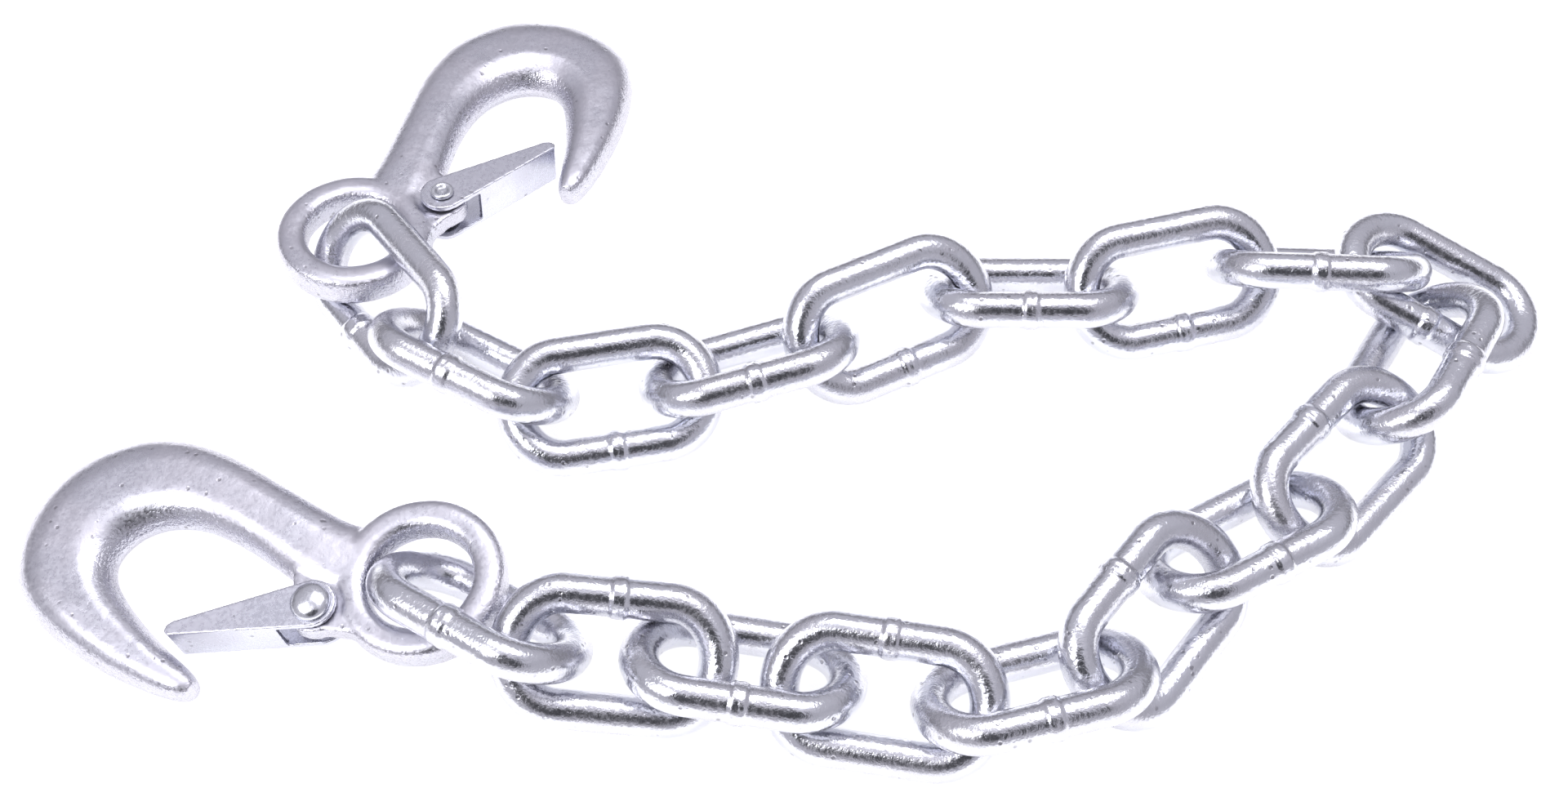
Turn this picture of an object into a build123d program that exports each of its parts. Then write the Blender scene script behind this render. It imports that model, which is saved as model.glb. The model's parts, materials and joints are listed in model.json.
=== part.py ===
from build123d import *
import math
import os

os.makedirs("parts", exist_ok=True)

# Safety chain for a trailer: welded links with a forged eye slip hook and its sprung latch at each end.
# Millimetres, +Z up. The chain lies on the ground, which is z = 0, doubled back on itself.

# ---------------------------------------------------------------- driving dimensions
WIRE_D = 7.9          # 5/16 in chain wire
PITCH = 32.8          # inside length of a link
INSIDE_W = 14.4       # inside width of a link
CROWN = 0.91          # a crown reaches this share of its half width along the link
WELD_L = 3.4          # length of the upset ring left by the butt weld
WELD_H = 0.45         # its height over the wire
GAP = 0.35            # clearance between two bodies that rest together

EYE_R = 13.8          # hook eye, centre of the ring's wall
EYE_HW = 3.3          # half width of that wall
EYE_HT = 3.9          # half thickness of that wall
LUG_R = 5.4           # tongue that the latch straddles
LUG_TOP = 3.3         # its face under the pin's upset tail
LUG_LOW = 1.2         # its face beside the spring
PIN_AT = (19.5, -8.4)  # latch pin, from the eye's centre
PIN_R = 1.95
HEAD_R = 4.0          # domed head of the pin
HEAD_H = 2.2
TAIL_R = 2.6          # upset tail of the pin
TAIL_H = 0.9
PLATE_IN = 3.9        # inside of the latch's plates, from the hook's middle plane
SHEET = 1.2           # latch sheet
PLATE_R = 4.9         # round end of a latch plate
SPRING_WIRE = 0.9
SPRING_R = 2.95       # mean radius of the coil
LATCH_OPEN = 36       # how far the latch swings in

FACE = 3.2            # how flat the hook's faces are: 2 is an ellipse
SHOULDER = 1.55       # how round its bevels are: 2 is an ellipse, 1 a plain chamfer

# Forged body of the hook from the eye's wall to the tip: outer side, bowl side, half thickness.
STATIONS = [
    ((11.5, 10.5), (13.0, -7.0), 3.9),
    ((17.5, 11.4), (18.5, -6.0), 4.2),
    ((23.5, 13.7), (24.5, -3.2), 4.6),
    ((33.0, 18.0), (31.5, 0.6), 5.0),
    ((42.3, 22.2), (39.5, 4.4), 5.4),
    ((51.5, 25.2), (46.5, 6.6), 5.7),
    ((61.0, 25.9), (52.5, 6.9), 5.9),
    ((69.7, 23.5), (57.5, 5.5), 6.0),
    ((77.3, 18.1), (60.8, 3.0), 6.0),
    ((82.6, 9.7), (62.8, -0.4), 6.0),
    ((84.3, 0.0), (63.0, -3.6), 6.0),
    ((82.8, -8.0), (61.5, -6.8), 5.9),
    ((78.3, -14.2), (58.9, -9.8), 5.8),
    ((71.0, -19.6), (55.5, -13.0), 5.5),
    ((62.0, -24.0), (51.6, -16.2), 5.1),
    ((54.0, -26.9), (47.9, -18.9), 4.7),
    ((47.5, -28.6), (44.4, -21.3), 4.2),
    ((43.0, -29.2), (41.3, -23.4), 3.7),
    ((40.4, -28.6), (39.4, -25.4), 2.6),
]

HALF_L = (PITCH + WIRE_D) / 2       # to the crown's wire centre
HALF_W = (INSIDE_W + WIRE_D) / 2    # to a leg's wire centre
CROWN_A = HALF_W * CROWN
LEG = HALF_L - CROWN_A              # half of a leg's straight

# How the links lie, from the first hook round to the second:
# heading in plan (degrees), rise of the far end, lean about its own length, height it is held off the ground
# by its neighbours (mm), how deep its start sits inside the crown before it and how far to the side (mm),
# leg that carries the weld.
LAY = [
    (-53, 3, 45, 0, 0, 0, -1),
    (-29, -2, -40, 0, 11.4, -1.0, -1),
    (10, 1, 24, 0, 8.4, -2.2, -1),
    (14, 7, -32, 0, 9.8, 1.2, -1),
    (25, 2, 42, 0.5, 8.1, 0.4, -1),
    (-2, 2, -31, 1, 8.0, 1.9, -1),
    (12, 3, 39, 0, 8.0, -0.5, -1),
    (-8, 6, -46, 0.6, 8.3, 0.8, -1),
    (-27, -14, -4, 1.4, 12.5, 4.1, -1),
    (-123, 1, 37, 0.2, 9.7, -12.8, 1),
    (-134, -3, -27, 0, 8.8, 1.1, -1),
    (-152, -2, 28, 0, 10.6, 0.3, 1),
    (-129, -3, -33, 0, 12.5, 1.8, -1),
    (-166, -2, 30, 1.5, 9.1, 0, 1),
    (169, -2, -31, 0, 10.8, 0, -1),
    (173, 5, 25, 0.3, 13, -1.9, 1),
    (177, 6, -30, 0.8, 15.4, 0, -1),
    (147, -4.5, 42, 1.0, 11.5, 0.6, 1),
]


# ---------------------------------------------------------------- laying the chain out
def add(p, q, s=1.0):
    return (p[0] + s * q[0], p[1] + s * q[1], p[2] + s * q[2])


def cross(p, q):
    return (p[1] * q[2] - p[2] * q[1], p[2] * q[0] - p[0] * q[2], p[0] * q[1] - p[1] * q[0])


def link_axes(heading, rise, lean):
    """Length, width and normal directions of a link."""
    h, r, t = (math.radians(v) for v in (heading, rise, lean))
    a = (math.cos(h) * math.cos(r), math.sin(h) * math.cos(r), math.sin(r))
    b0 = (-math.sin(h), math.cos(h), 0.0)
    n0 = cross(a, b0)
    b = add((0, 0, 0), b0, math.cos(t))
    b = add(b, n0, math.sin(t))
    return a, b, cross(a, b)


def wire_line(steps=40):
    """Centre line of a link's wire, from one crown's top round to itself."""
    line = []
    for end in (1, -1):
        for i in range(steps + 1):
            t = math.pi * (i / steps - 0.5)
            line.append((end * (LEG + CROWN_A * math.cos(t)), end * HALF_W * math.sin(t)))
    return line


LINE = wire_line()


def placed(link, part=None):
    c, (a, b, n) = link
    pts = LINE if part is None else [p for p in LINE if p[0] * part > 0]
    return [add(add(c, a, u), b, w) for u, w in pts]


def nearest(one, two):
    """Smallest distance between two lines, and where on each."""
    best = None
    for p in one:
        for q in two:
            d2 = (p[0] - q[0]) ** 2 + (p[1] - q[1]) ** 2 + (p[2] - q[2]) ** 2
            if best is None or d2 < best[0]:
                best = (d2, p, q)
    return math.sqrt(best[0]), best[1], best[2]


def rest_height(axes):
    """Height of a link's centre when its lowest wire touches the ground."""
    a, b, n = axes
    return WIRE_D / 2 - min(u * a[2] + w * b[2] for u, w in LINE)


def lay_chain(start):
    links = []
    for heading, rise, lean, lift, into, side, weld in LAY:
        axes = link_axes(heading, rise, lean)
        z = rest_height(axes) + lift
        if not links:
            links.append(((start[0], start[1], z), axes))
            continue
        before = links[-1]
        end = add(before[0], before[1][0], HALF_L)
        u = add(before[1][0], axes[0])
        size = math.hypot(u[0], u[1])
        u = (u[0] / size, u[1] / size)
        old = placed(before, 1)
        while True:
            crown = (end[0] - into * u[0] - side * u[1], end[1] - into * u[1] + side * u[0])
            c = (crown[0] + HALF_L * axes[0][0], crown[1] + HALF_L * axes[0][1], z)
            here = (c, axes)
            if nearest(old, placed(here, -1))[0] >= WIRE_D + GAP:
                break
            into += 0.1
        links.append(here)
    return links


# the first link's place on the ground; the rest follow from it
LINKS = lay_chain((-86.4, 21.2))

# ---------------------------------------------------------------- solids
def bar(path, radius, plane):
    """Round bar along a path, its section drawn on the plane."""
    return sweep(plane * Circle(radius), path=path)


def make_link(weld_leg):
    right = Edge.make_line((0, -HALF_W), (LEG, -HALF_W))
    crown = Edge.make_ellipse(CROWN_A, HALF_W, Plane(origin=(LEG, 0, 0)), -90, 90)
    left = Edge.make_line((LEG, HALF_W), (0, HALF_W))
    path = Wire([right, crown, left])
    half = bar(path, WIRE_D / 2, Plane(origin=(0, -HALF_W, 0), x_dir=(0, 1, 0), z_dir=(1, 0, 0)))
    ring = Cylinder(WIRE_D / 2 + WELD_H, WELD_L, rotation=(0, 90, 0))
    ring = fillet(ring.edges(), WELD_H * 0.8)
    return half + Rot(0, 0, 180) * half + Pos(0, weld_leg * HALF_W, 0) * ring


def oval(plane, half_w, half_t, n=6):
    """Closed forging section in four quarters: a flatter face each side, broad bevels and rounded edges."""
    edges = []
    for k in range(4):
        pts = []
        for i in range(n + 1):
            t = math.pi / 2 * (k + i / n)
            c, q = round(math.cos(t), 9), round(math.sin(t), 9)
            pts.append(plane.from_local_coords(Vector(
                half_w * math.copysign(abs(c) ** (2 / FACE), c),
                half_t * math.copysign(abs(q) ** (2 / SHOULDER), q), 0)))
        way = [plane.y_dir, -plane.x_dir, -plane.y_dir, plane.x_dir, plane.y_dir]
        edges.append(Edge.make_spline(pts, tangents=[way[k], way[k + 1]]))
    return Wire(edges)


def plate_outline(grow=0.0):
    """Side plate of the latch, grown by a clearance."""
    px, py = PIN_AT
    r = PLATE_R + grow
    pts = [(px + r * math.cos(math.radians(t)), py + r * math.sin(math.radians(t))) for t in range(62, 270, 13)]
    g = grow
    pts += [(px - 0.4, py - r), (46.4, -17.9 - g), (47.4 + g, -17.2), (47.2 + g, -15.9 + g), (46.2, -14.9 + g)]
    return make_face(Polyline(*pts, close=True))


def latch_turn(deg):
    px, py = PIN_AT
    return Pos(px, py, 0) * Rot(0, 0, deg) * Pos(-px, -py, 0)


def make_hook(spring_side):
    """Hook body; spring_side is the side of the middle plane with the coil."""
    wires = []
    for k, (o, b, t) in enumerate(STATIONS):
        mid = ((o[0] + b[0]) / 2, (o[1] + b[1]) / 2, 0)
        wide = (o[0] - b[0], o[1] - b[1], 0)
        half = math.hypot(wide[0], wide[1]) / 2
        wires.append(oval(Plane(origin=mid, x_dir=wide, z_dir=(-wide[1], wide[0], 0)), half, t))
    body = Solid.make_loft(wires)
    ring = revolve(Plane.XZ * Pos(EYE_R, 0, 0) * make_face(
        Spline(*[(EYE_HW * math.copysign(abs(math.cos(a)) ** 0.6, math.cos(a)),
                  EYE_HT * math.copysign(abs(math.sin(a)) ** 0.6, math.sin(a)))
                 for a in [2 * math.pi * i / 16 for i in range(16)]], periodic=True)), Axis.Z)
    bore = Cylinder(EYE_R - 1.0, 20)
    body = (body - bore) + ring
    px, py = PIN_AT
    top = spring_side * -1
    # relief for the latch's plates over their travel, outside the tongue's two faces
    keep = [(top * LUG_TOP, top * 20), (-top * LUG_LOW, -top * 20)]
    for z0, z1 in keep:
        lo, hi = min(z0, z1), max(z0, z1)
        cut = Pos(px, py, (lo + hi) / 2) * Cylinder(PLATE_R + 1.5, hi - lo)
        for deg in (0, 12, 24, LATCH_OPEN + 1):
            cut += latch_turn(deg) * Pos(0, 0, lo) * extrude(plate_outline(0.4), hi - lo)
        # only the shank beside the pin is relieved, never the tip
        body = body - (cut & Pos(20, 0, (lo + hi) / 2) * Box(26, 60, hi - lo))
    tongue = make_face(Polyline((8.5, -13.2), (11.5, -3.0), (22.0, 1.5), (25.5, -1.2), (px + 5.0, py + 2.2),
                                (px + 3.0, py - 3.0), (px, py - LUG_R), (px - 3.5, py - 4.6), close=True))
    lo, hi = min(top * LUG_TOP, -top * LUG_LOW), max(top * LUG_TOP, -top * LUG_LOW)
    tongue = Pos(0, 0, lo) * extrude(tongue, hi - lo)
    tongue += Pos(px, py, (lo + hi) / 2) * Cylinder(LUG_R, hi - lo)
    tongue = tongue - Cylinder(EYE_R - 1.0, 20)
    return (body + tongue) - Pos(px, py, 0) * Cylinder(PIN_R + 0.05, 30)


def make_latch(spring_side):
    """Pressed channel: two side plates on the tongue, joined by a web on the throat side."""
    px, py = PIN_AT
    out = PLATE_IN + SHEET
    solid = Pos(0, 0, -out) * extrude(plate_outline(), 2 * out)
    # the inside, open towards the bowl; the web keeps the sheet's thickness behind the fold line
    dx, dy = 46.4 - (px - 0.4), -17.9 - (py - PLATE_R)
    size = math.hypot(dx, dy)
    n = (-dy / size, dx / size)     # across the fold line, towards the bowl
    u = (dx / size, dy / size)
    at = lambda along, across: (px - 0.4 + along * u[0] + across * n[0], py - PLATE_R + along * u[1] + across * n[1])
    inside = make_face(Polyline(at(-8, -4), at(6.5, -4), at(6.5, SHEET), at(40, SHEET), at(40, 25), at(-8, 25), close=True))
    solid -= Pos(0, 0, -PLATE_IN) * extrude(inside, 2 * PLATE_IN)
    return solid - Pos(px, py, 0) * Cylinder(PIN_R + 0.3, 30)


def make_pin():
    """Latch pin: domed head below, upset tail with a dimple above."""
    px, py = PIN_AT
    z = PLATE_IN + SHEET + 0.12
    head = Spline((0, -z - HEAD_H), (HEAD_R * 0.62, -z - HEAD_H * 0.76), (HEAD_R, -z - 0.3), tangents=[(1, 0), (0.1, 1)])
    tail = Polyline((HEAD_R, -z - 0.3), (HEAD_R, -z), (PIN_R, -z), (PIN_R, z), (TAIL_R, z), (TAIL_R, z + TAIL_H * 0.6),
                    (TAIL_R - 0.5, z + TAIL_H), (1.35, z + TAIL_H), (0.8, z + TAIL_H * 0.35), (0, z + TAIL_H * 0.35), (0, -z - HEAD_H))
    face = make_face([*head.edges(), *tail.edges()])
    return Pos(px, py, 0) * revolve(Plane.XZ * face, Axis.Z)


def make_spring(spring_side):
    """Coil round the pin beside the tongue, one leg against the shank and a short one towards the latch's web."""
    px, py = PIN_AT
    w = SPRING_WIRE
    z0, z1 = LUG_LOW + w / 2 + 0.12, PLATE_IN - w / 2 - 0.12
    turns, start = 2.0, math.radians(100)
    pts = []
    first = (math.cos(start), math.sin(start))
    pts.append((SPRING_R * first[0] + 2.4 * first[1], SPRING_R * first[1] - 2.4 * first[0], z0))
    n = int(turns * 16)
    for i in range(n + 1):
        a = start + 2 * math.pi * turns * i / n
        pts.append((SPRING_R * math.cos(a), SPRING_R * math.sin(a), z0 + (z1 - z0) * i / n))
    a = start + 2 * math.pi * turns
    pts.append((SPRING_R * math.cos(a) - 2.4 * math.sin(a), SPRING_R * math.sin(a) + 2.4 * math.cos(a), z1))
    pts = [(x, y, z * spring_side) for x, y, z in pts]
    path = Spline(*pts)
    tangent = path % 0
    return Pos(px, py, 0) * sweep(Plane(origin=pts[0], z_dir=tangent) * Circle(w / 2), path=path)


# ---------------------------------------------------------------- the assembly
def hook_frame(heading, dip, roll, up):
    """Hook axes: heading in plan, nose dipped, back raised; up is the face that looks up."""
    h, d, r = (math.radians(v) for v in (heading, dip, roll))
    x = (math.cos(h) * math.cos(d), math.sin(h) * math.cos(d), -math.sin(d))
    y0 = (-math.sin(h), math.cos(h), 0.0)
    z0 = cross(x, y0)
    y = add((up * math.cos(r) * y0[0], up * math.cos(r) * y0[1], 0.0), z0, math.sin(r))
    return x, cross(x, y)


# each hook: eye's place in plan from its link's middle, heading, dip, roll, face up, side of the spring
HOOKS = {
    1: ((-8.5, 15.85), 52.0, 4.1, -0.2, 1, -1),
    2: ((-11.92, 7.8), 171.2, 4.3, 7.7, -1, 1),
}

solids = {}
for number, (eye, heading, dip, roll, up, spring_side) in HOOKS.items():
    x_dir, z_dir = hook_frame(heading, dip, roll, up)
    pieces = {
        f"hook_{number}": make_hook(spring_side),
        f"latch_{number}": make_latch(spring_side),
        f"latch_pin_{number}": make_pin(),
        f"latch_spring_{number}": make_spring(spring_side),
    }
    own_link = LINKS[0 if number == 1 else -1][0]
    spot = Plane(origin=(own_link[0] + eye[0], own_link[1] + eye[1], 0), x_dir=x_dir, z_dir=z_dir).location
    placed_pieces = {name: spot * solid for name, solid in pieces.items()}
    low = min(solid.bounding_box(optimal=True).min.Z for solid in placed_pieces.values())
    for name, solid in placed_pieces.items():
        solids[name] = Pos(0, 0, -low) * solid
    print("hook", number, "eye height", round(-low, 2))

for k, (centre, (a, b, n)) in enumerate(LINKS, 1):
    body = make_link(LAY[k - 1][6])
    solids[f"link_{k:02d}"] = Plane(origin=centre, x_dir=a, z_dir=n).location * body

# the row's frame: the middle of the bounding box in plan, resting on the ground
boxes = [solid.bounding_box(optimal=True) for solid in solids.values()]
shift = (-(min(q.min.X for q in boxes) + max(q.max.X for q in boxes)) / 2,
         -(min(q.min.Y for q in boxes) + max(q.max.Y for q in boxes)) / 2,
         -min(q.min.Z for q in boxes))
print("shift", [round(v, 3) for v in shift])
for name, solid in solids.items():
    solid = Pos(*shift) * solid
    solids[name] = solid
    export_step(solid, f"parts/{name}.step")

print("hook 1 to link 1", round(solids["hook_1"].distance_to(solids["link_01"]), 3))
print("hook 2 to link 18", round(solids["hook_2"].distance_to(solids["link_18"]), 3))
for number in HOOKS:
    for one, two in (("latch", "hook"), ("latch", "latch_pin"), ("latch", "latch_spring"), ("hook", "latch_spring"), ("latch_pin", "latch_spring")):
        print(one, two, number, round(solids[f"{one}_{number}"].distance_to(solids[f"{two}_{number}"]), 3))
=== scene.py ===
"""Zinc plated safety chain with two sprung slip hooks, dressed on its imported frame."""

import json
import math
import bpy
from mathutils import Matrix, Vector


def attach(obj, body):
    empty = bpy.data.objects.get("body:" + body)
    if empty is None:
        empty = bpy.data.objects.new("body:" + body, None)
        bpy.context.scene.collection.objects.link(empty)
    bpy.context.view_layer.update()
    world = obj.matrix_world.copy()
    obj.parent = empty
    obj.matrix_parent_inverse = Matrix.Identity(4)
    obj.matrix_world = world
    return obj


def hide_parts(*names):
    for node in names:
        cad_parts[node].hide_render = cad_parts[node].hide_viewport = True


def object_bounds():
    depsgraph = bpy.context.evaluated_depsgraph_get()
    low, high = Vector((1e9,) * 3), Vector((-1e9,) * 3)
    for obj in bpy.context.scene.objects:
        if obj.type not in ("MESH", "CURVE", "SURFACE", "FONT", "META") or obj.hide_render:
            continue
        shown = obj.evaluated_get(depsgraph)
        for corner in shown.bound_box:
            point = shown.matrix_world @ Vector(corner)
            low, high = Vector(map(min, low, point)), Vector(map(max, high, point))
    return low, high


bl_info = {
    "name": "Safety Chain Hook",
    "version": (1, 0, 0),
    "blender": (4, 5, 0),
    "location": "View3D > Sidebar > Safety Chain",
    "description": "Makes the links, hooks, latches, pins and springs of a trailer safety chain",
    "category": "Object",
}

import bmesh
import bpy
import numpy as np
from bpy.props import FloatProperty, FloatVectorProperty, PointerProperty
from mathutils import Matrix, Vector, noise

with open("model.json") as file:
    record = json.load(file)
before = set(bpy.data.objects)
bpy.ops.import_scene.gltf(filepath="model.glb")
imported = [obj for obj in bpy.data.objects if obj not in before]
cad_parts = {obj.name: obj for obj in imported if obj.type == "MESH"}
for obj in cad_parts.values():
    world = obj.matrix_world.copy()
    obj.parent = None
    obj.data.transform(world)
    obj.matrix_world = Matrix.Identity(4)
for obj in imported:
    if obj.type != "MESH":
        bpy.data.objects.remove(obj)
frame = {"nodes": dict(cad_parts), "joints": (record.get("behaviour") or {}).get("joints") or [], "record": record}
CAD_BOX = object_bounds()
MM = 0.001
# brightness of the room against height, as a share from straight down (0) by the horizon (0.5) to straight up (1)
FRONT_SKY = ((0.0, 0.8), (0.5, 0.60), (0.62, 0.62), (0.80, 0.55), (0.95, 0.75), (1.0, 0.90))
BACK_SKY = ((0.0, 0.8), (0.5, 0.62), (0.55, 0.32), (0.63, 0.30), (0.74, 0.62), (0.88, 0.62), (0.95, 0.78),
            (1.0, 0.90))
SKY_TINT = (0.975, 0.955, 1.045)
VIEWER = Vector((0.0, -0.707, 0.707))               # where the middle of the room's dim lobe lies
LOBE_LEVEL = 0.07
LOBE_EDGE, LOBE_CORE = 0.84, 0.975                  # cosines of the angles at which the lobe starts and is full
# plating patterns, in cells a metre
CLOUD_SCALE, PATCH_SCALE, PIT_SCALE, PEEL_SCALE, GRAIN_SCALE = 95.0, 180.0, 420.0, 700.0, 1300.0
# painted shade: a dark colour mixed into the pits, standing for the shade that falls in them
PIT_SHADE_COLOUR = (0.16, 0.15, 0.17, 1)
PLATING_BUMP = 0.05 * MM
# a link's wire: a leg's share of the way round beside pi for a crown, steps round the link and round the wire
LEG_SHARE = 2.2
LINK_STEPS, WIRE_STEPS = 288, 44
WELD_FLASH = 0.6 * MM
SPRING_STEPS, SPRING_TURNS, SPRING_LEG = 220, 2.0, 2.4 * MM
SPRING_START = math.radians(100)
# rounding passes as (smoothing, number): forging and latch sheet
FORGING_EASE, SHEET_EASE = (0.6, 9), (0.5, 5)
# riveted pin: thickness of its head, height of its tail and steps round it
HEAD_RISE, TAIL_HEIGHT, PIN_STEPS = 2.2 * MM, 0.9 * MM, 64
# stage: camera aim and lights, measured from the middle of the chain
AIM_SHIFT = (-5.54 * MM, -8.50 * MM)
AIM_HEIGHT = 0.3 * MM
KEY_PLACE, TOP_PLACE = Vector((-0.55, -0.35, 0.75)), Vector((0.1, 0.25, 1.0))
KEY_SIZE, TOP_SIZE, TOP_SHARE = (0.5, 0.5), (0.8, 0.5), 1.2
LINK_NAMES = sorted(name for name in frame["nodes"] if name.startswith("link_"))
HOOK_NUMBERS = (1, 2)


# ---------------------------------------------------------------- sizes and colours a user may change
class ChainSizes(bpy.types.PropertyGroup):
    """Sizes of one welded link"""
    wire: FloatProperty(name="Wire diameter", description="Diameter of the chain wire", default=7.9 * MM,
                        unit="LENGTH")
    half_width: FloatProperty(name="Half width", description="From the link's middle to the middle of a leg",
                              default=11.15 * MM, unit="LENGTH")
    leg: FloatProperty(name="Leg", description="Half the straight length of a leg", default=10.2 * MM,
                       unit="LENGTH")
    crown: FloatProperty(name="Crown", description="Reach of a rounded end beyond its leg", default=10.15 * MM,
                         unit="LENGTH")
    weld_length: FloatProperty(name="Weld length", description="Length of the upset ring of the weld",
                               default=3.4 * MM, unit="LENGTH")
    weld_height: FloatProperty(name="Weld height", description="Height of the weld ring over the wire",
                               default=0.45 * MM, unit="LENGTH")
    dent: FloatProperty(name="Dents", description="Depth of the soft dents in the wire", default=0.07 * MM,
                        unit="LENGTH")


class HookSizes(bpy.types.PropertyGroup):
    """Finish of the forged hooks and of the small parts on them"""
    voxel: FloatProperty(name="Forging grid", description="Grid on which the forging's corners are rounded",
                         default=0.42 * MM, unit="LENGTH")
    sheet_voxel: FloatProperty(name="Sheet grid", description="Grid on which the latch sheet's corners are rounded",
                               default=0.2 * MM, unit="LENGTH")
    head_radius: FloatProperty(name="Pin head", description="Radius of the pin's domed head", default=4.0 * MM,
                               unit="LENGTH")
    shaft_radius: FloatProperty(name="Pin shaft", description="Radius of the pin's shaft", default=1.95 * MM,
                                unit="LENGTH")
    tail_radius: FloatProperty(name="Pin tail", description="Radius of the pin's upset tail", default=2.6 * MM,
                               unit="LENGTH")
    spring_wire: FloatProperty(name="Spring wire", description="Diameter of the spring wire", default=0.9 * MM,
                               unit="LENGTH")
    spring_radius: FloatProperty(name="Coil radius", description="Mean radius of the spring's coil",
                                 default=2.95 * MM, unit="LENGTH")


class ZincColours(bpy.types.PropertyGroup):
    """Colours of the plating"""
    chain: FloatVectorProperty(name="Chain zinc", description="Plating of the links", subtype="COLOR", size=3,
                               default=(0.70, 0.71, 0.77), min=0, max=1)
    hook: FloatVectorProperty(name="Hook zinc", description="Plating of the forgings", subtype="COLOR", size=3,
                              default=(0.62, 0.62, 0.69), min=0, max=1)
    latch: FloatVectorProperty(name="Latch zinc", description="Plating of the latch sheet", subtype="COLOR", size=3,
                               default=(0.66, 0.67, 0.75), min=0, max=1)


class StageSettings(bpy.types.PropertyGroup):
    """Camera, floor and light"""
    lens: FloatProperty(name="Lens", description="Focal length in millimetres", default=48.4)
    elevation: FloatProperty(name="Elevation", description="Height of the camera above the horizon",
                             default=math.radians(54.09), subtype="ANGLE")
    roll: FloatProperty(name="Roll", description="Turn of the camera about its own view",
                        default=math.radians(-0.243), subtype="ANGLE")
    distance: FloatProperty(name="Distance", description="From the aim point to the camera", default=456.88 * MM,
                            unit="LENGTH")
    key: FloatProperty(name="Key light", description="Power of the main soft light in watts", default=3.2)


# ---------------------------------------------------------------- node helpers
class Nodes:
    """Adds nodes to a tree and joins them; a value may be a socket or a plain number."""

    def __init__(self, tree):
        self.tree = tree

    def put(self, socket, value):
        if isinstance(value, bpy.types.NodeSocket):
            self.tree.links.new(value, socket)
        elif value is not None:
            socket.default_value = value

    def add(self, kind, inputs=None, **settings):
        node = self.tree.nodes.new(kind)
        for key, value in settings.items():
            setattr(node, key, value)
        for key, value in (inputs or {}).items():
            self.put(node.inputs[key], value)
        return node

    def sum(self, operation, one, two=None, three=None, clamp=False):
        node = self.tree.nodes.new("ShaderNodeMath")
        node.operation, node.use_clamp = operation, clamp
        for socket, value in zip(node.inputs, (one, two, three)):
            self.put(socket, value)
        return node.outputs[0]

    def ramp(self, value, low, high, to_low=0.0, to_high=1.0, smooth=True):
        node = self.tree.nodes.new("ShaderNodeMapRange")
        node.interpolation_type = "SMOOTHSTEP" if smooth else "LINEAR"
        for socket, item in zip(node.inputs, (value, low, high, to_low, to_high)):
            self.put(socket, item)
        return node.outputs[0]


def inputs_of(tree, sockets):
    """Adds the tree's named inputs and returns its Group Input node."""
    for name, kind, default in sockets:
        item = tree.interface.new_socket(name=name, in_out="INPUT", socket_type=kind)
        if default is not None:
            item.default_value = default
    tree.interface.new_socket(name="Geometry", in_out="OUTPUT", socket_type="NodeSocketGeometry")
    return tree.nodes.new("NodeGroupInput").outputs


def close_tree(n, geometry, material):
    """Ends a tree in Realize Instances and Set Material."""
    smooth = n.add("GeometryNodeSetShadeSmooth", {"Geometry": geometry})
    real = n.add("GeometryNodeRealizeInstances", {"Geometry": smooth.outputs[0]})
    done = n.add("GeometryNodeSetMaterial", {"Geometry": real.outputs[0], "Material": material})
    out = n.tree.nodes.new("NodeGroupOutput")
    n.tree.links.new(done.outputs[0], out.inputs[0])


# ---------------------------------------------------------------- piece helpers
def new_piece(name, mesh, body, slot, *stands_for):
    """Links a finished mesh as a piece of a body."""
    piece = bpy.data.objects.new(name, mesh)
    bpy.context.scene.collection.objects.link(piece)
    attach(piece, body)
    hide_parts(*stands_for)
    return piece


def outward(mesh):
    """Turns every face of a closed mesh outwards and shades it smooth."""
    shape = bmesh.new()
    shape.from_mesh(mesh)
    bmesh.ops.remove_doubles(shape, verts=shape.verts, dist=1e-7)
    bmesh.ops.recalc_face_normals(shape, faces=shape.faces)
    shape.to_mesh(mesh)
    shape.free()
    mesh.polygons.foreach_set("use_smooth", [True] * len(mesh.polygons))
    return mesh


def run_tree(tree, values):
    """Evaluates a tree on an empty mesh with the given inputs and returns a plain mesh."""
    holder = bpy.data.objects.new("holder", bpy.data.meshes.new("holder"))
    bpy.context.scene.collection.objects.link(holder)
    modifier = holder.modifiers.new("build", "NODES")
    modifier.node_group = tree
    sockets = {item.name: item.identifier for item in tree.interface.items_tree if item.in_out == "INPUT"}
    for name, value in values.items():
        modifier[sockets[name]] = value
    holder.update_tag()
    graph = bpy.context.evaluated_depsgraph_get()
    mesh = bpy.data.meshes.new_from_object(holder.evaluated_get(graph), depsgraph=graph)
    holder.modifiers.clear()
    bpy.data.objects.remove(holder)
    return outward(mesh)


def merged_copy(node):
    """A copy of a CAD node's mesh with its loose triangles merged."""
    mesh = frame["nodes"][node].data.copy()
    mesh.materials.clear()
    return outward(mesh)


def vertices(mesh):
    co = np.empty(len(mesh.vertices) * 3)
    mesh.vertices.foreach_get("co", co)
    return co.reshape(-1, 3)


def main_axes(node):
    """Longest, middle and shortest axis of a CAD node and its centroid, from its surface."""
    mesh = frame["nodes"][node].data
    mesh.calc_loop_triangles()
    tri = np.array([t.vertices[:] for t in mesh.loop_triangles])
    a, b, c = (vertices(mesh)[tri[:, k]] for k in range(3))
    area = np.linalg.norm(np.cross(b - a, c - a), axis=1) / 2
    m = (a + b + c) / 3
    centre = (m * area[:, None]).sum(0) / area.sum()
    spread = sum(w * np.einsum("i,ij,ik->jk", area, p - centre, p - centre)
                 for w, p in ((9, m), (1, a), (1, b), (1, c))) / 12
    axes = np.linalg.eigh(spread)[1][:, ::-1].T
    axes[2] = np.cross(axes[0], axes[1])
    return centre, axes


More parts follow.
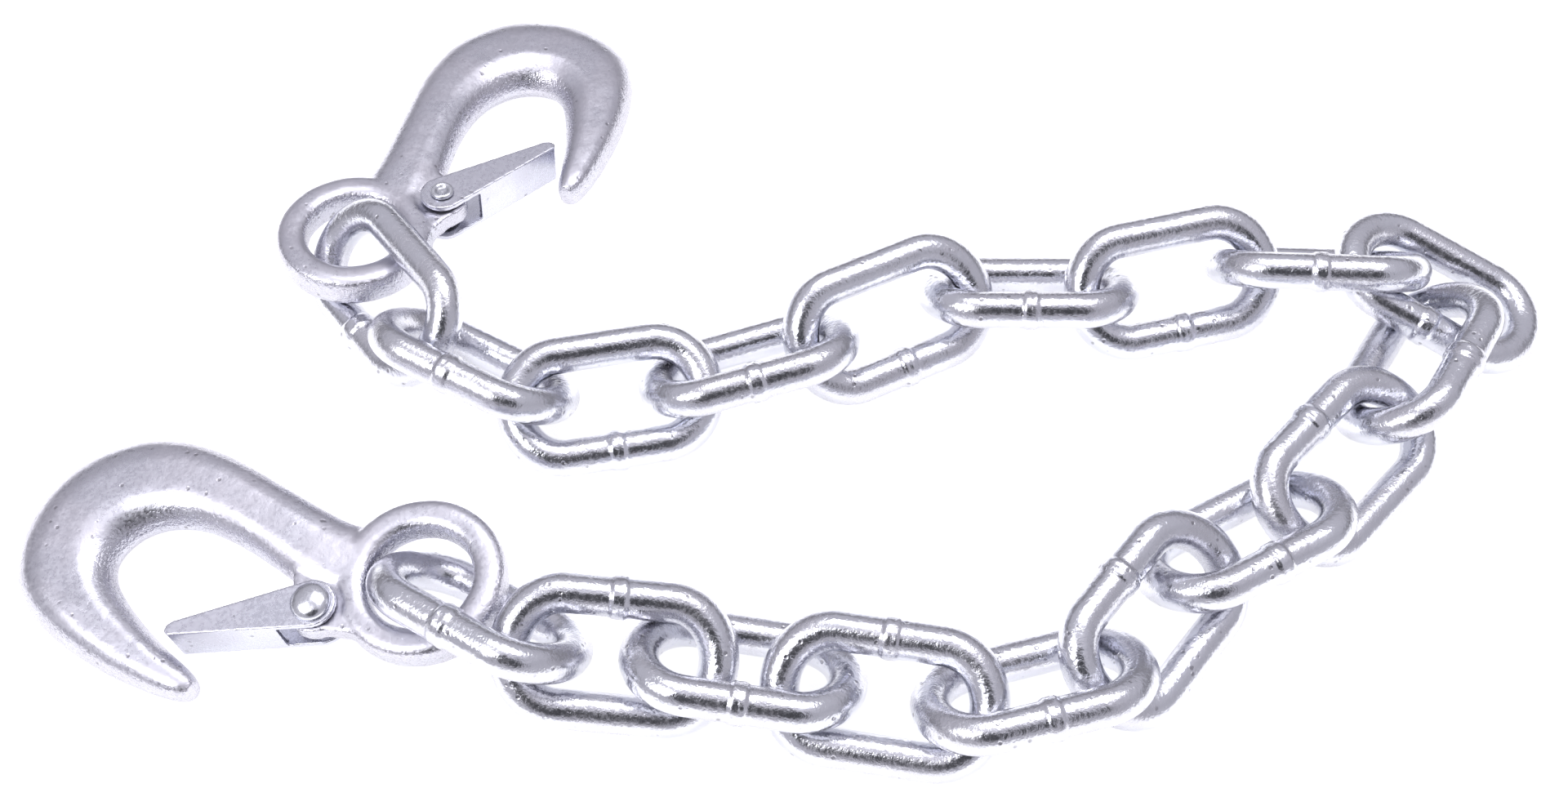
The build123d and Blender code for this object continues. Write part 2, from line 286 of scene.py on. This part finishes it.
def link_place(node, sizes):
    """A link's true centre, its axes and the side of its weld, with the weld ring left out of the measure."""
    rough, axes = main_axes(node)
    local = (vertices(frame["nodes"][node].data) - rough) @ axes.T
    plain = local[np.abs(local[:, 0]) > sizes.weld_length]
    middle = (plain.max(0) + plain.min(0)) / 2
    ring = local[np.abs(local[:, 0] - middle[0]) < sizes.weld_length * 0.6] - middle
    reach = [np.abs(ring[ring[:, 1] * side > 0][:, 2]).max(initial=0.0) for side in (1, -1)]
    return rough + middle @ axes, axes, 1.0 if reach[0] > reach[1] else -1.0


def hook_place(number):
    """A hook's frame, from its latch joint and its bowl.

    Its origin is the pin's position, x runs from eye to bend, y to the back and z along the pin.
    """
    joint = next(j for j in frame["joints"] if j["child"] == f"latch_{number}")
    mount = next(m for m in frame["record"]["mounts"] if m["name"] == f"tow_bowl_{number}")
    z = Vector(joint["axis"]).normalized()
    x = -Vector(mount["axis"])
    x = (x - x.dot(z) * z).normalized()
    turn = Matrix((x, z.cross(x), z)).transposed().to_4x4()
    return Matrix.Translation(Vector(joint["pos_m"])) @ turn


# ---------------------------------------------------------------- zinc plating
def zinc(name, colour, warm, rough, peel, grain, pits, shoulder=0.0):
    """Plated steel: cloudy colour, orange peel, fine grain, pits darkened in colour as painted shade and, on the
    forgings, sparkling shoulders.

    The colour drifts between colour and warm. peel, grain and pits are heights in units of PLATING_BUMP, and
    shoulder is how many times more grain a face has where it turns away from the forging's flat side.
    """
    material = bpy.data.materials.new(name)
    material.use_nodes = True
    material.node_tree.nodes.clear()
    n = Nodes(material.node_tree)
    place = n.add("ShaderNodeTexCoord").outputs["Object"]
    cloud = n.add("ShaderNodeTexNoise", {"Vector": place, "Scale": CLOUD_SCALE, "Detail": 4.0, "Roughness": 0.6})
    speck = n.add("ShaderNodeTexNoise", {"Vector": place, "Scale": GRAIN_SCALE, "Detail": 2.0, "Roughness": 0.7})
    orange = n.add("ShaderNodeTexNoise", {"Vector": place, "Scale": PEEL_SCALE, "Detail": 3.0, "Roughness": 0.55})
    cells = n.add("ShaderNodeTexVoronoi", {"Vector": place, "Scale": PIT_SCALE, "Randomness": 1.0})
    pit = n.ramp(cells.outputs["Distance"], 0.10, 0.24, 1.0, 0.0)
    patch = n.add("ShaderNodeTexNoise", {"Vector": place, "Scale": PATCH_SCALE, "Detail": 1.0})
    pit = n.sum("MULTIPLY", pit, n.ramp(patch.outputs["Fac"], 0.52, 0.62))
    tint = n.add("ShaderNodeMix", {"Factor": n.ramp(cloud.outputs["Fac"], 0.35, 0.65)}, data_type="RGBA")
    tint.inputs[6].default_value, tint.inputs[7].default_value = (*colour, 1), (*warm, 1)
    # painted shade: the pits are darkened in colour, standing for the shade in these recesses
    pit_shade = n.add("ShaderNodeMix", {"Factor": n.sum("MULTIPLY", pit, 0.55)}, data_type="RGBA")
    n.put(pit_shade.inputs[6], tint.outputs[2])
    pit_shade.inputs[7].default_value = PIT_SHADE_COLOUR
    gloss = n.sum("ADD", n.ramp(speck.outputs["Fac"], 0.3, 0.7, -0.06, 0.08),
                  n.ramp(cloud.outputs["Fac"], 0.3, 0.7, rough - 0.05, rough + 0.06))
    fine = n.sum("MULTIPLY", speck.outputs["Fac"], grain)
    if shoulder:
        edge = n.add("ShaderNodeAttribute", attribute_name="shoulder").outputs["Fac"]
        gloss = n.sum("ADD", gloss, n.sum("MULTIPLY", edge, -0.10))
        fine = n.sum("MULTIPLY", fine, n.sum("ADD", n.sum("MULTIPLY", edge, shoulder), 1.0))
    height = n.sum("ADD", n.sum("MULTIPLY", orange.outputs["Fac"], peel), fine)
    height = n.sum("SUBTRACT", height, n.sum("MULTIPLY", pit, pits))
    bump = n.add("ShaderNodeBump", {"Height": height, "Strength": 1.0, "Distance": PLATING_BUMP})
    shader = n.add("ShaderNodeBsdfPrincipled", {"Base Color": pit_shade.outputs[2], "Metallic": 1.0,
                                                "Roughness": gloss, "Normal": bump.outputs[0]})
    out = n.add("ShaderNodeOutputMaterial")
    n.tree.links.new(shader.outputs[0], out.inputs[0])
    return material


# ---------------------------------------------------------------- chain links
def link_tree():
    """One welded link: a wire swept along two legs and two crowns, thickened at the weld."""
    tree = bpy.data.node_groups.new("Welded Link", "GeometryNodeTree")
    n = Nodes(tree)
    size = inputs_of(tree, [("Centre", "NodeSocketVector", None), ("Turn", "NodeSocketVector", None),
                            ("Wire Radius", "NodeSocketFloat", 3.95 * MM),
                            ("Half Width", "NodeSocketFloat", 11.15 * MM),
                            ("Leg", "NodeSocketFloat", 10.2 * MM), ("Crown", "NodeSocketFloat", 10.15 * MM),
                            ("Weld Side", "NodeSocketFloat", 1.0), ("Weld Length", "NodeSocketFloat", 3.4 * MM),
                            ("Weld Height", "NodeSocketFloat", 0.45 * MM), ("Dent", "NodeSocketFloat", 0.07 * MM),
                            ("Seed", "NodeSocketFloat", 0.0), ("Steps", "NodeSocketInt", LINK_STEPS),
                            ("Material", "NodeSocketMaterial", None)])
    loop = n.add("GeometryNodeCurvePrimitiveCircle", {"Resolution": size["Steps"]})
    share = n.sum("DIVIDE", n.add("GeometryNodeInputIndex").outputs[0], size["Steps"])
    half = math.pi + LEG_SHARE                        # one crown and one leg
    way = n.sum("MULTIPLY", share, 2 * half)
    first = n.ramp(way, 0.0, math.pi, 0.0, math.pi, smooth=False)
    second = n.ramp(way, half, half + math.pi, 0.0, math.pi, smooth=False)
    angle = n.sum("ADD", n.sum("ADD", first, second), -math.pi / 2)
    back = n.ramp(way, math.pi, half, 0.0, 2.0, smooth=False)
    forth = n.ramp(way, half + math.pi, 2 * half, 0.0, 2.0, smooth=False)
    offset = n.sum("MULTIPLY", n.sum("ADD", n.sum("SUBTRACT", 1.0, back), forth), size["Leg"])
    x = n.sum("MULTIPLY_ADD", n.sum("COSINE", angle), size["Crown"], offset)
    y = n.sum("MULTIPLY", n.sum("SINE", angle), size["Half Width"])
    spot = n.add("ShaderNodeCombineXYZ", {"X": x, "Y": y})
    line = n.add("GeometryNodeSetPosition", {"Geometry": loop.outputs[0], "Position": spot.outputs[0]})
    near = n.sum("DIVIDE", n.sum("ABSOLUTE", x), n.sum("MULTIPLY", size["Weld Length"], 0.5))
    ring = n.ramp(near, 0.62, 1.18, 1.0, 0.0)
    ring = n.sum("MULTIPLY", ring, n.sum("GREATER_THAN", n.sum("MULTIPLY", y, size["Weld Side"]), 0.0))
    kept = n.add("GeometryNodeStoreNamedAttribute", {"Geometry": line.outputs[0], "Name": "weld", "Value": ring},
                 data_type="FLOAT", domain="POINT")
    radius = n.sum("MULTIPLY_ADD", ring, size["Weld Height"], size["Wire Radius"])
    section = n.add("GeometryNodeCurvePrimitiveCircle", {"Resolution": WIRE_STEPS, "Radius": 1.0})
    wire = n.add("GeometryNodeCurveToMesh", {"Curve": kept.outputs[0], "Profile Curve": section.outputs[0],
                                             "Scale": radius})
    at = n.add("GeometryNodeInputPosition").outputs[0]
    soft = n.add("ShaderNodeTexNoise", {"Vector": at, "W": size["Seed"], "Scale": 260.0, "Detail": 2.0},
                 noise_dimensions="4D")
    rough = n.add("ShaderNodeTexNoise", {"Vector": at, "W": size["Seed"], "Scale": 1100.0, "Detail": 2.0},
                  noise_dimensions="4D")
    weld = n.add("GeometryNodeInputNamedAttribute", {"Name": "weld"}, data_type="FLOAT").outputs[0]
    dent = n.sum("MULTIPLY", n.sum("SUBTRACT", soft.outputs[0], 0.62), size["Dent"])
    flash = n.sum("MULTIPLY", n.sum("MULTIPLY", n.sum("SUBTRACT", rough.outputs[0], 0.6), weld), WELD_FLASH)
    normal = n.add("GeometryNodeInputNormal").outputs[0]
    push = n.add("ShaderNodeVectorMath", {0: normal}, operation="SCALE")
    n.put(push.inputs["Scale"], n.sum("ADD", dent, flash))
    shaped = n.add("GeometryNodeSetPosition", {"Geometry": wire.outputs[0], "Offset": push.outputs[0]})
    put = n.add("GeometryNodeTransform", {"Geometry": shaped.outputs[0], "Translation": size["Centre"],
                                          "Rotation": size["Turn"]})
    close_tree(n, put.outputs[0], size["Material"])
    return tree


class SAFETYCHAIN_OT_links(bpy.types.Operator):
    """Make every welded link from one Geometry Nodes tree"""
    bl_idname = "safetychain.links"
    bl_label = "Chain Links"

    def execute(self, context):
        sizes, colours = context.scene.safety_chain, context.scene.safety_chain_zinc
        c = Vector(colours.chain)
        plating = zinc("chain_zinc", c, c * 0.90 + Vector((0.01, 0.0, 0.0)), rough=0.19, peel=1.6, grain=1.5,
                       pits=1.6)
        tree = link_tree()
        for number, node in enumerate(LINK_NAMES, 1):
            centre, axes, side = link_place(node, sizes)
            turn = Matrix([Vector(a) for a in axes]).transposed().to_euler()
            mesh = run_tree(tree, {
                "Centre": tuple(centre), "Turn": tuple(turn), "Wire Radius": sizes.wire / 2,
                "Half Width": sizes.half_width, "Leg": sizes.leg, "Crown": sizes.crown, "Weld Side": side,
                "Weld Length": sizes.weld_length, "Weld Height": sizes.weld_height, "Dent": sizes.dent,
                "Seed": float(number), "Steps": LINK_STEPS, "Material": plating})
            mesh.name = f"welded_{node}"
            new_piece(f"welded_{node}", mesh, node, "chain_zinc", node)
        return {"FINISHED"}


# ---------------------------------------------------------------- hooks and latches
def rounded(node, voxel, smoothing, passes):
    """The CAD node's shape with its corners rounded on a fine grid, as forging or pressing leaves them."""
    mesh = merged_copy(node)
    holder = bpy.data.objects.new("holder", mesh)
    bpy.context.scene.collection.objects.link(holder)
    grid = holder.modifiers.new("grid", "REMESH")
    grid.mode, grid.voxel_size, grid.use_smooth_shade = "VOXEL", voxel, True
    ease = holder.modifiers.new("ease", "SMOOTH")
    ease.factor, ease.iterations = smoothing, passes
    graph = bpy.context.evaluated_depsgraph_get()
    done = bpy.data.meshes.new_from_object(holder.evaluated_get(graph), depsgraph=graph)
    holder.modifiers.clear()
    bpy.data.objects.remove(holder)
    return outward(done)


def roughen(mesh, depth, scale, seed):
    """Soft unevenness of a forged skin."""
    shape = bmesh.new()
    shape.from_mesh(mesh)
    shape.normal_update()
    shift = Vector((seed * 3.1, seed * 1.7, seed * 2.3))
    for vertex in shape.verts:
        wave = noise.fractal(vertex.co * scale + shift, 0.8, 2.0, 3)
        vertex.co += vertex.normal * (wave - 0.35) * depth
    shape.to_mesh(mesh)
    shape.free()


def mark_shoulders(mesh, place):
    """Stores how far each point's face turns away from the hook's flat faces."""
    z = place.to_3x3().col[2].normalized()
    lean = [1.0 - abs(v.normal.dot(z)) for v in mesh.vertices]
    data = mesh.attributes.new("shoulder", "FLOAT", "POINT")
    data.data.foreach_set("value", [min(1.0, max(0.0, (v - 0.12) / 0.35)) for v in lean])


class SAFETYCHAIN_OT_hooks(bpy.types.Operator):
    """Make the forged hooks, with rounded shoulders and a grained skin"""
    bl_idname = "safetychain.hooks"
    bl_label = "Forged Hooks"

    def execute(self, context):
        sizes, colours = context.scene.safety_chain_hook, context.scene.safety_chain_zinc
        c = Vector(colours.hook)
        plating = zinc("hook_zinc", c, c * 0.93 + Vector((0.02, 0.01, 0.01)), rough=0.33, peel=0.5, grain=0.6,
                       pits=1.2, shoulder=10.0)
        for number in HOOK_NUMBERS:
            node = f"hook_{number}"
            mesh = rounded(node, sizes.voxel, *FORGING_EASE)
            roughen(mesh, 0.06 * MM, 170.0, number)
            mesh.materials.clear()
            mesh.materials.append(plating)
            mark_shoulders(mesh, hook_place(number))
            mesh.name = f"forged_{node}"
            new_piece(f"forged_{node}", mesh, node, "hook_zinc", node)
        return {"FINISHED"}


class SAFETYCHAIN_OT_latches(bpy.types.Operator):
    """Make the pressed latches, with eased folds"""
    bl_idname = "safetychain.latches"
    bl_label = "Latches"

    def execute(self, context):
        sizes, colours = context.scene.safety_chain_hook, context.scene.safety_chain_zinc
        c = Vector(colours.latch)
        plating = zinc("latch_zinc", c, c * 0.93 + Vector((0.01, 0.0, 0.0)), rough=0.27, peel=0.35, grain=0.2,
                       pits=0.8)
        for number in HOOK_NUMBERS:
            node = f"latch_{number}"
            mesh = rounded(node, sizes.sheet_voxel, *SHEET_EASE)
            mesh.materials.clear()
            mesh.materials.append(plating)
            mesh.name = f"pressed_{node}"
            new_piece(f"pressed_{node}", mesh, node, "latch_zinc", node)
        return {"FINISHED"}


# ---------------------------------------------------------------- pins and springs
def turned(profile, steps, place):
    """A closed solid turned about its own z from a profile of (radius, height) that starts and ends on the axis."""
    shape = bmesh.new()
    rings = []
    for radius, height in profile:
        if radius == 0:
            rings.append([shape.verts.new((0, 0, height))])
            continue
        turns = [2 * math.pi * k / steps for k in range(steps)]
        rings.append([shape.verts.new((radius * math.cos(a), radius * math.sin(a), height)) for a in turns])
    for low, high in zip(rings, rings[1:]):
        for k in range(steps):
            one, two = k, (k + 1) % steps
            ends = [low[one % len(low)], low[two % len(low)], high[two % len(high)], high[one % len(high)]]
            shape.faces.new(list(dict.fromkeys(ends)))
    shape.transform(place)
    mesh = bpy.data.meshes.new("turned")
    shape.to_mesh(mesh)
    shape.free()
    return outward(mesh)


def pin_profile(sizes, head_low, tail_high):
    """Domed head below, upset tail with a dimple above, with eased rims."""
    r, s, t = sizes.head_radius, sizes.shaft_radius, sizes.tail_radius
    dome = [math.pi / 2 * k / 18 for k in range(19)]  # from the pole to the rim
    points = [(r * math.sin(a), head_low + (HEAD_RISE - 0.3 * MM) * (1 - math.cos(a))) for a in dome]
    rim, low = head_low + HEAD_RISE, tail_high - TAIL_HEIGHT
    points += [(r, rim - 0.12 * MM), (r - 0.05 * MM, rim - 0.03 * MM), (r - 0.15 * MM, rim), (s, rim),
               (s, low)]
    points += [(t - 0.12 * MM, low), (t, low + 0.12 * MM), (t + 0.02 * MM, low + 0.4 * MM),
               (t - 0.08 * MM, low + 0.65 * MM), (t - 0.3 * MM, low + 0.84 * MM), (t - 0.6 * MM, low + 0.9 * MM),
               (1.7 * MM, low + 0.87 * MM), (1.35 * MM, low + 0.72 * MM), (1.1 * MM, low + 0.42 * MM),
               (0.85 * MM, low + 0.33 * MM), (0.4 * MM, low + 0.38 * MM), (0.0, low + 0.42 * MM)]
    return points


class SAFETYCHAIN_OT_pins(bpy.types.Operator):
    """Make the riveted latch pins"""
    bl_idname = "safetychain.pins"
    bl_label = "Latch Pins"

    def execute(self, context):
        sizes, colours = context.scene.safety_chain_hook, context.scene.safety_chain_zinc
        c = Vector(colours.chain)
        plating = zinc("pin_zinc", c, c * 0.93, rough=0.22, peel=0.5, grain=0.15, pits=0.8)
        for number in HOOK_NUMBERS:
            node = f"latch_pin_{number}"
            place = hook_place(number)
            local = [place.inverted() @ v.co for v in frame["nodes"][node].data.vertices]
            mesh = turned(pin_profile(sizes, min(v.z for v in local), max(v.z for v in local)), PIN_STEPS, place)
            mesh.materials.append(plating)
            roughen(mesh, 0.05 * MM, 400.0, number + 5)
            mesh.name = f"riveted_pin_{number}"
            new_piece(f"riveted_pin_{number}", mesh, f"hook_{number}", "pin_zinc", node)
        return {"FINISHED"}


def spring_tree():
    """A coil of round wire that leaves along a straight leg at each end."""
    tree = bpy.data.node_groups.new("Latch Spring", "GeometryNodeTree")
    n = Nodes(tree)
    size = inputs_of(tree, [("Centre", "NodeSocketVector", None), ("Turn", "NodeSocketVector", None),
                            ("Coil Radius", "NodeSocketFloat", 2.95 * MM),
                            ("Wire Radius", "NodeSocketFloat", 0.45 * MM),
                            ("Start Angle", "NodeSocketFloat", SPRING_START),
                            ("Turns", "NodeSocketFloat", SPRING_TURNS), ("Leg", "NodeSocketFloat", SPRING_LEG),
                            ("Low", "NodeSocketFloat", 1.8 * MM), ("High", "NodeSocketFloat", 3.3 * MM),
                            ("Steps", "NodeSocketInt", SPRING_STEPS), ("Material", "NodeSocketMaterial", None)])
    start = n.add("GeometryNodeCurvePrimitiveLine")
    line = n.add("GeometryNodeResampleCurve", {"Curve": start.outputs[0], "Count": size["Steps"]})
    share = n.sum("DIVIDE", n.add("GeometryNodeInputIndex").outputs[0], n.sum("SUBTRACT", size["Steps"], 1.0))
    round_ = n.sum("MULTIPLY", size["Turns"], 2 * math.pi)
    lead = n.sum("DIVIDE", size["Leg"], size["Coil Radius"])
    way = n.sum("SUBTRACT", n.sum("MULTIPLY", share, n.sum("MULTIPLY_ADD", lead, 2.0, round_)), lead)
    angle = n.sum("MINIMUM", n.sum("MAXIMUM", way, 0.0), round_)
    extra = n.sum("MULTIPLY", n.sum("SUBTRACT", way, angle), size["Coil Radius"])
    turn = n.sum("ADD", angle, size["Start Angle"])
    c, s = n.sum("COSINE", turn), n.sum("SINE", turn)
    x = n.sum("SUBTRACT", n.sum("MULTIPLY", c, size["Coil Radius"]), n.sum("MULTIPLY", s, extra))
    y = n.sum("ADD", n.sum("MULTIPLY", s, size["Coil Radius"]), n.sum("MULTIPLY", c, extra))
    climb = n.sum("SUBTRACT", size["High"], size["Low"])
    z = n.sum("MULTIPLY_ADD", n.sum("DIVIDE", angle, round_), climb, size["Low"])
    spot = n.add("ShaderNodeCombineXYZ", {"X": x, "Y": y, "Z": z})
    coil = n.add("GeometryNodeSetPosition", {"Geometry": line.outputs[0], "Position": spot.outputs[0]})
    section = n.add("GeometryNodeCurvePrimitiveCircle", {"Resolution": 20, "Radius": 1.0})
    wire = n.add("GeometryNodeCurveToMesh", {"Curve": coil.outputs[0], "Profile Curve": section.outputs[0],
                                             "Scale": size["Wire Radius"], "Fill Caps": True})
    put = n.add("GeometryNodeTransform", {"Geometry": wire.outputs[0], "Translation": size["Centre"],
                                          "Rotation": size["Turn"]})
    close_tree(n, put.outputs[0], size["Material"])
    return tree


class SAFETYCHAIN_OT_springs(bpy.types.Operator):
    """Make the latch springs from one Geometry Nodes tree"""
    bl_idname = "safetychain.springs"
    bl_label = "Latch Springs"

    def execute(self, context):
        sizes, colours = context.scene.safety_chain_hook, context.scene.safety_chain_zinc
        c = Vector(colours.chain) * 0.9
        plating = zinc("spring_zinc", c, c * 0.9, rough=0.22, peel=0.1, grain=0.1, pits=0.2)
        tree = spring_tree()
        for number in HOOK_NUMBERS:
            node = f"latch_spring_{number}"
            place = hook_place(number)
            local = [(place.inverted() @ v.co).z for v in frame["nodes"][node].data.vertices]
            r = sizes.spring_wire / 2
            low, high = min(local) + r, max(local) - r
            if low + high < 0:                        # this coil lies below the tongue, and winds away from it
                low, high = high, low
            mesh = run_tree(tree, {
                "Centre": tuple(place.translation), "Turn": tuple(place.to_euler()),
                "Coil Radius": sizes.spring_radius, "Wire Radius": r, "Start Angle": SPRING_START,
                "Turns": SPRING_TURNS, "Leg": SPRING_LEG, "Low": low, "High": high, "Steps": SPRING_STEPS,
                "Material": plating})
            mesh.name = f"coil_{number}"
            new_piece(f"coil_spring_{number}", mesh, f"hook_{number}", "spring_zinc", node)
        return {"FINISHED"}


# ---------------------------------------------------------------- stage
def plain_material(name, colour, rough, glow):
    """A matt material that also glows a little."""
    material = bpy.data.materials.new(name)
    material.use_nodes = True
    shader = next(n for n in material.node_tree.nodes if n.type == "BSDF_PRINCIPLED")
    shader.inputs["Base Color"].default_value = (*colour, 1)
    shader.inputs["Roughness"].default_value = rough
    shader.inputs["Specular IOR Level"].default_value = 0.1
    shader.inputs["Emission Color"].default_value = (1, 1, 1, 1)
    shader.inputs["Emission Strength"].default_value = glow
    return material


def soft_light(name, place, aim, size, power):
    """A rectangular soft light at a place, turned to an aim point."""
    data = bpy.data.lights.new(name, "AREA")
    data.shape, data.size, data.size_y = "RECTANGLE", size[0], size[1]
    data.energy = power
    lamp = bpy.data.objects.new(name, data)
    lamp.location = place
    lamp.rotation_euler = (aim - place).to_track_quat("-Z", "Y").to_euler()
    bpy.context.scene.collection.objects.link(lamp)


def studio_sky():
    """White room with a dim lobe on the viewer's side, so round wire shows long pale and dark bands."""
    world = bpy.data.worlds.new("studio")
    bpy.context.scene.world = world
    world.use_nodes = True
    world.node_tree.nodes.clear()
    n = Nodes(world.node_tree)
    direction = n.add("ShaderNodeTexCoord").outputs["Generated"]
    way = n.add("ShaderNodeSeparateXYZ", {0: direction})
    height = n.ramp(way.outputs[2], -1.0, 1.0, 0.0, 1.0, smooth=False)
    levels = []
    for stops in (FRONT_SKY, BACK_SKY):
        ramp = n.add("ShaderNodeValToRGB", {0: height})
        ramp.color_ramp.elements[0].position = stops[0][0]
        ramp.color_ramp.elements[1].position = stops[-1][0]
        for at, _ in stops[1:-1]:
            ramp.color_ramp.elements.new(at)
        for element, (_, level) in zip(ramp.color_ramp.elements, stops):
            element.color = (*(level * share for share in SKY_TINT), 1)
        levels.append(ramp.outputs[0])
    behind = n.ramp(way.outputs[1], -0.35, 0.3)
    sky = n.add("ShaderNodeMix", {"Factor": behind, 6: levels[0], 7: levels[1]}, data_type="RGBA")
    towards = n.add("ShaderNodeVectorMath", {0: direction, 1: VIEWER}, operation="DOT_PRODUCT")
    lobe = n.ramp(towards.outputs["Value"], LOBE_EDGE, LOBE_CORE)
    dim = n.add("ShaderNodeMix", {"Factor": lobe, 6: sky.outputs[2]}, data_type="RGBA")
    dim.inputs[7].default_value = (LOBE_LEVEL, LOBE_LEVEL, LOBE_LEVEL * 1.1, 1)
    back = n.add("ShaderNodeBackground", {"Color": dim.outputs[2], "Strength": 1.0})
    n.tree.links.new(back.outputs[0], n.add("ShaderNodeOutputWorld").inputs[0])


class SAFETYCHAIN_OT_stage(bpy.types.Operator):
    """Lay the pale floor, set the soft lights and the camera"""
    bl_idname = "safetychain.stage"
    bl_label = "Stage"

    def execute(self, context):
        setting = context.scene.safety_chain_stage
        scene = context.scene
        scene.view_settings.view_transform = "Standard"
        scene.view_settings.look = "None"
        studio_sky()
        shape = bmesh.new()
        bmesh.ops.create_grid(shape, x_segments=1, y_segments=1, size=3.0)
        mesh = bpy.data.meshes.new("floor")
        shape.to_mesh(mesh)
        shape.free()
        mesh.materials.append(plain_material("floor_white", (0.90, 0.90, 0.895), 0.8, 0.62))
        floor = bpy.data.objects.new("floor", mesh)
        scene.collection.objects.link(floor)
        low, high = CAD_BOX
        middle = (Vector(low) + Vector(high)) / 2
        soft_light("key", middle + KEY_PLACE, middle, KEY_SIZE, setting.key)
        soft_light("top", middle + TOP_PLACE, middle, TOP_SIZE, setting.key * TOP_SHARE)
        aim = Vector((middle.x + AIM_SHIFT[0], middle.y + AIM_SHIFT[1], AIM_HEIGHT))
        away = Vector((0, -math.cos(setting.elevation), math.sin(setting.elevation)))
        data = bpy.data.cameras.new("camera")
        data.lens, data.sensor_width = setting.lens, 36.0
        camera = bpy.data.objects.new("camera", data)
        right = Vector((1, 0, 0))
        up = away.cross(right)
        c, s = math.cos(setting.roll), math.sin(setting.roll)
        turn = Matrix((right * c + up * s, up * c - right * s, away)).transposed().to_4x4()
        camera.matrix_world = Matrix.Translation(aim + away * setting.distance) @ turn
        scene.collection.objects.link(camera)
        scene.camera = camera
        return {"FINISHED"}


class SAFETYCHAIN_PT_panel(bpy.types.Panel):
    """Sizes, colours and the pieces' buttons"""
    bl_label = "Safety Chain"
    bl_idname = "SAFETYCHAIN_PT_panel"
    bl_space_type = "VIEW_3D"
    bl_region_type = "UI"
    bl_category = "Safety Chain"

    def draw(self, context):
        for name, group in GROUPS.items():
            box = self.layout.box()
            for setting in group.__annotations__:
                box.prop(getattr(context.scene, name), setting)
        for operator in OPERATORS:
            self.layout.operator(operator.bl_idname)


OPERATORS = (SAFETYCHAIN_OT_links, SAFETYCHAIN_OT_hooks, SAFETYCHAIN_OT_latches, SAFETYCHAIN_OT_pins,
             SAFETYCHAIN_OT_springs, SAFETYCHAIN_OT_stage)
GROUPS = {"safety_chain": ChainSizes, "safety_chain_hook": HookSizes, "safety_chain_zinc": ZincColours,
          "safety_chain_stage": StageSettings}


def register():
    for item in (*GROUPS.values(), *OPERATORS, SAFETYCHAIN_PT_panel):
        bpy.utils.register_class(item)
    for name, group in GROUPS.items():
        setattr(bpy.types.Scene, name, PointerProperty(type=group))


def unregister():
    for name in GROUPS:
        delattr(bpy.types.Scene, name)
    for item in reversed((*GROUPS.values(), *OPERATORS, SAFETYCHAIN_PT_panel)):
        bpy.utils.unregister_class(item)


def main():
    register()
    bpy.ops.safetychain.links()
    bpy.ops.safetychain.hooks()
    bpy.ops.safetychain.latches()
    bpy.ops.safetychain.pins()
    bpy.ops.safetychain.springs()
    bpy.ops.safetychain.stage()


if __name__ == "__main__":
    main()
